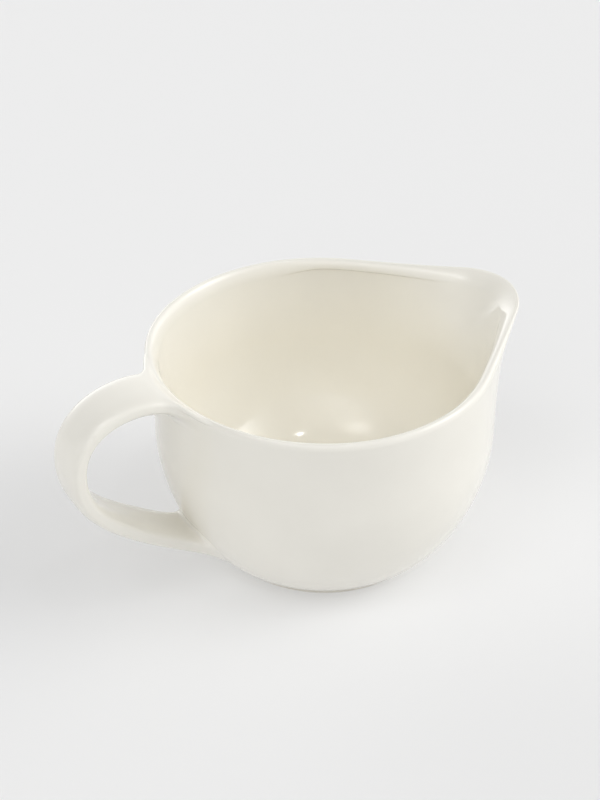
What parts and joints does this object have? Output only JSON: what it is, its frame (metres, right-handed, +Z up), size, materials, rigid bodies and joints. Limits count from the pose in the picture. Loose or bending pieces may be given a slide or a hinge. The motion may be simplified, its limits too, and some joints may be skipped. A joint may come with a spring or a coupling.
{
  "type": "cream jug",
  "caption": "Small round porcelain cream jug with a wide mouth, a pulled pouring spout, a strap handle and a foot ring.",
  "frame": {"origin": "centre of the foot ring, on the plane that the jug stands on", "axes": "+Z up the bowl's axis, +X towards the spout, -X towards the handle, +Y to the left of the spout"},
  "size_m": [0.1357, 0.093, 0.0665],
  "materials": {
    "glaze": "gloss",
    "bisque": "matt"
  },
  "bodies": {
    "root": {"body": "glaze", "handle": "glaze", "upper_handle_joint": "glaze", "lower_handle_joint": "glaze", "foot_ring": "bisque"}
  },
  "joints": []
}
